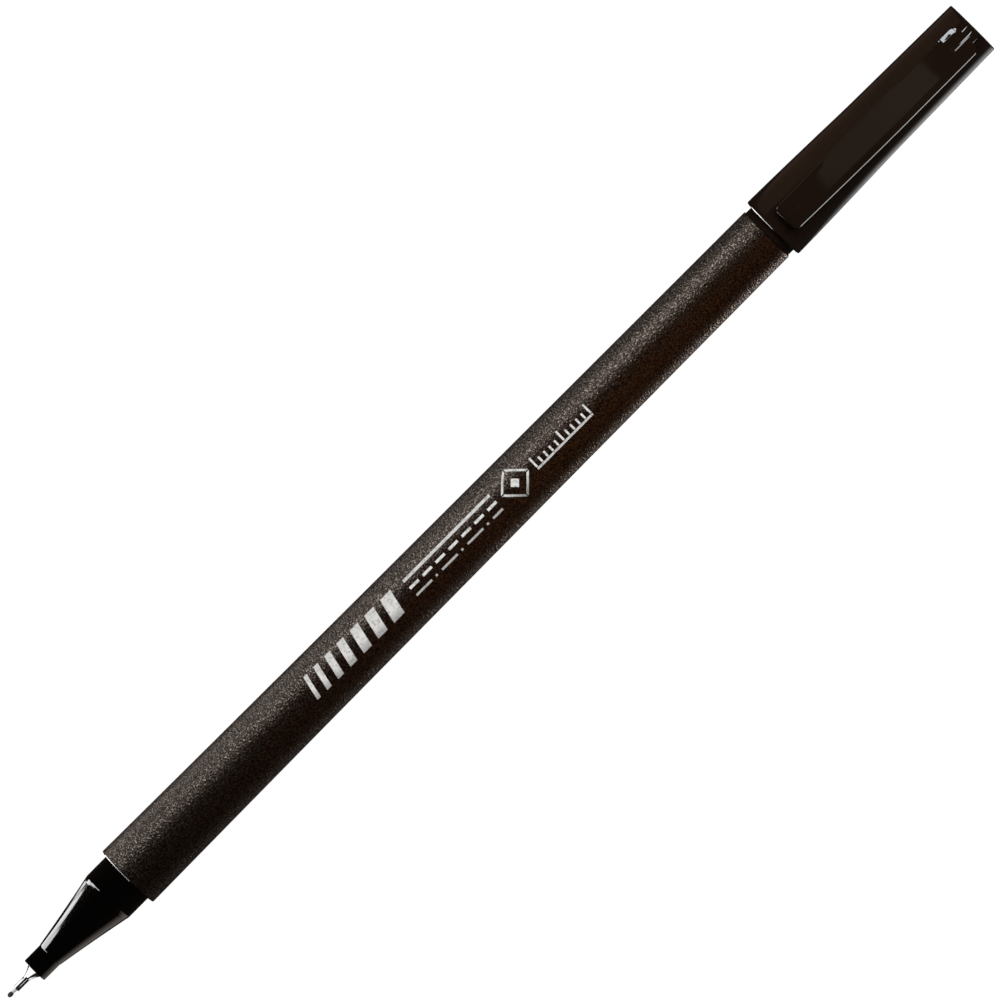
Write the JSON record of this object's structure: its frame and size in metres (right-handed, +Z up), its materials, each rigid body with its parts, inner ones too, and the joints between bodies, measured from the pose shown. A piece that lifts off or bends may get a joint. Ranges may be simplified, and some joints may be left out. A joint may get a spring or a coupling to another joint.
{
  "type": "technical pen",
  "caption": "Slim fineliner technical pen with a steel-clad fibre nib, a conical nose, a tapering barrel, and a clip cap posted on its tail that pulls off and turns.",
  "frame": {"origin": "on the surface that the pen lies on, under the middle of its length with the cap posted", "axes": "+X along the pen from the nib to the crown of the cap, +Y across it, +Z up through the clip"},
  "size_m": [0.1626, 0.0086, 0.0101],
  "materials": {
    "satin_black": "fine-grained satin",
    "gloss_black": "high gloss",
    "polished_steel": "polished",
    "nib_fibre": "inked fibre",
    "wick_fibre": "bonded fibre",
    "inked_fibre": "ink-soaked fibre",
    "clear_film": "thin clear film",
    "liner_plastic": "smooth moulded",
    "silver_foil": "hot-stamped foil"
  },
  "bodies": {
    "pen": {"nib": "nib_fibre", "tip_sleeve": "polished_steel", "relay_wick": "wick_fibre", "nose_section": "gloss_black", "barrel": "satin_black", "ink_reservoir": "inked_fibre", "reservoir_film": "clear_film", "tail_plug": "gloss_black"},
    "cap_seal": {"cap_liner": "liner_plastic"},
    "cap": {"cap_shell": "gloss_black"},
    "clip": {"cap_clip": "gloss_black"}
  },
  "joints": [
    {"name": "cap_slide", "type": "slide", "parent": "pen", "child": "cap_seal", "axis": [1, 0, 0], "range_m": [0, 0.02]},
    {"name": "cap_turn", "type": "hinge", "parent": "cap_seal", "child": "cap", "pos_m": [0.05063, 0, 0.00428], "axis": [1, 0, 0], "continuous": true},
    {"name": "clip_flex", "type": "hinge", "parent": "cap", "child": "clip", "pos_m": [0.0803, 0, 0.00828], "axis": [0, 1, 0], "range_deg": [0, 6], "stiffness_Nm_per_rad": 0.8}
  ]
}
